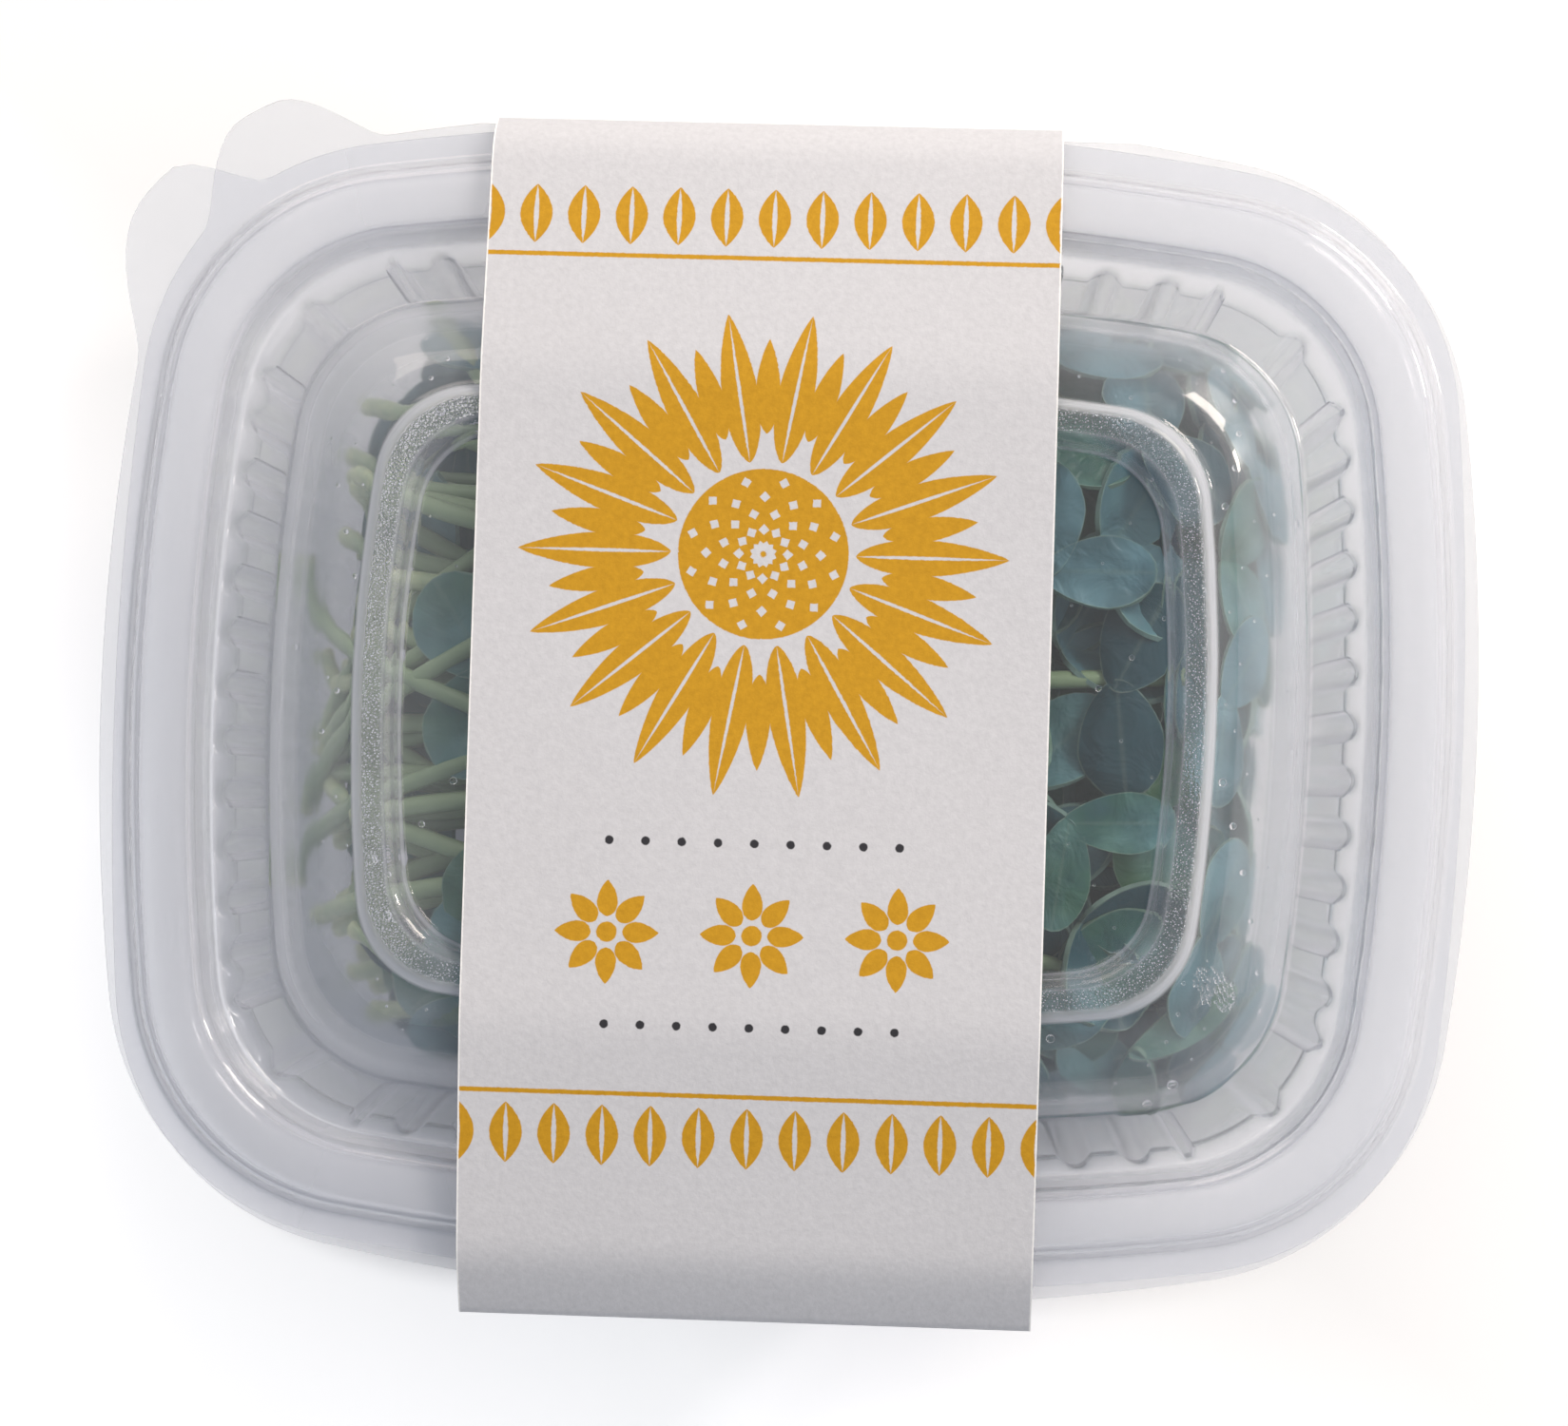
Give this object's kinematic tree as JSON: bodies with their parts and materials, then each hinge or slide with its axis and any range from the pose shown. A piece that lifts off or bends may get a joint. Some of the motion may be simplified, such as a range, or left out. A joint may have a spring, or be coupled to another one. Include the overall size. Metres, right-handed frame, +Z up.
{
  "type": "sunflower microgreens tray",
  "caption": "Clear plastic tub with a press-on lid and a white card sleeve, filled with cut sunflower shoots, stems one way and seed leaves the other.",
  "frame": {"origin": "middle of the card sleeve's flat underside, which the tray rests on", "axes": "+X from the stems' cut ends to the leaves, along the tray's length; +Y to the side with the two pull tabs; +Z up through the lid"},
  "size_m": [0.1448, 0.1277, 0.0572],
  "materials": {
    "clear_polypropylene": "thermoformed clear sheet, glossy and slightly milky",
    "white_card": "uncoated white card with a fine tooth, printed in golden yellow",
    "fresh_shoot": "fresh waxy green seed leaves on pale stems"
  },
  "bodies": {
    "root": {"tub": "clear_polypropylene", "lid": "clear_polypropylene", "paper_sleeve": "white_card", "shoot_01": "fresh_shoot", "shoot_02": "fresh_shoot", "shoot_03": "fresh_shoot", "shoot_04": "fresh_shoot", "shoot_05": "fresh_shoot", "shoot_06": "fresh_shoot", "shoot_07": "fresh_shoot", "shoot_08": "fresh_shoot", "shoot_09": "fresh_shoot", "shoot_10": "fresh_shoot", "shoot_11": "fresh_shoot", "shoot_12": "fresh_shoot", "shoot_13": "fresh_shoot", "shoot_14": "fresh_shoot", "shoot_15": "fresh_shoot", "shoot_16": "fresh_shoot", "shoot_17": "fresh_shoot", "shoot_18": "fresh_shoot", "shoot_19": "fresh_shoot", "shoot_20": "fresh_shoot", "shoot_21": "fresh_shoot", "shoot_22": "fresh_shoot", "shoot_23": "fresh_shoot", "shoot_24": "fresh_shoot", "shoot_25": "fresh_shoot", "shoot_26": "fresh_shoot", "shoot_27": "fresh_shoot", "shoot_28": "fresh_shoot", "shoot_29": "fresh_shoot", "shoot_30": "fresh_shoot", "shoot_31": "fresh_shoot", "shoot_32": "fresh_shoot", "shoot_33": "fresh_shoot", "shoot_34": "fresh_shoot", "shoot_35": "fresh_shoot", "shoot_36": "fresh_shoot", "shoot_37": "fresh_shoot", "shoot_38": "fresh_shoot", "shoot_39": "fresh_shoot", "shoot_40": "fresh_shoot", "shoot_41": "fresh_shoot", "shoot_42": "fresh_shoot", "shoot_43": "fresh_shoot", "shoot_44": "fresh_shoot", "shoot_45": "fresh_shoot", "shoot_46": "fresh_shoot", "shoot_47": "fresh_shoot", "shoot_48": "fresh_shoot", "shoot_49": "fresh_shoot", "shoot_50": "fresh_shoot", "shoot_51": "fresh_shoot", "shoot_52": "fresh_shoot", "shoot_53": "fresh_shoot", "shoot_54": "fresh_shoot", "shoot_55": "fresh_shoot", "shoot_56": "fresh_shoot"}
  },
  "joints": []
}
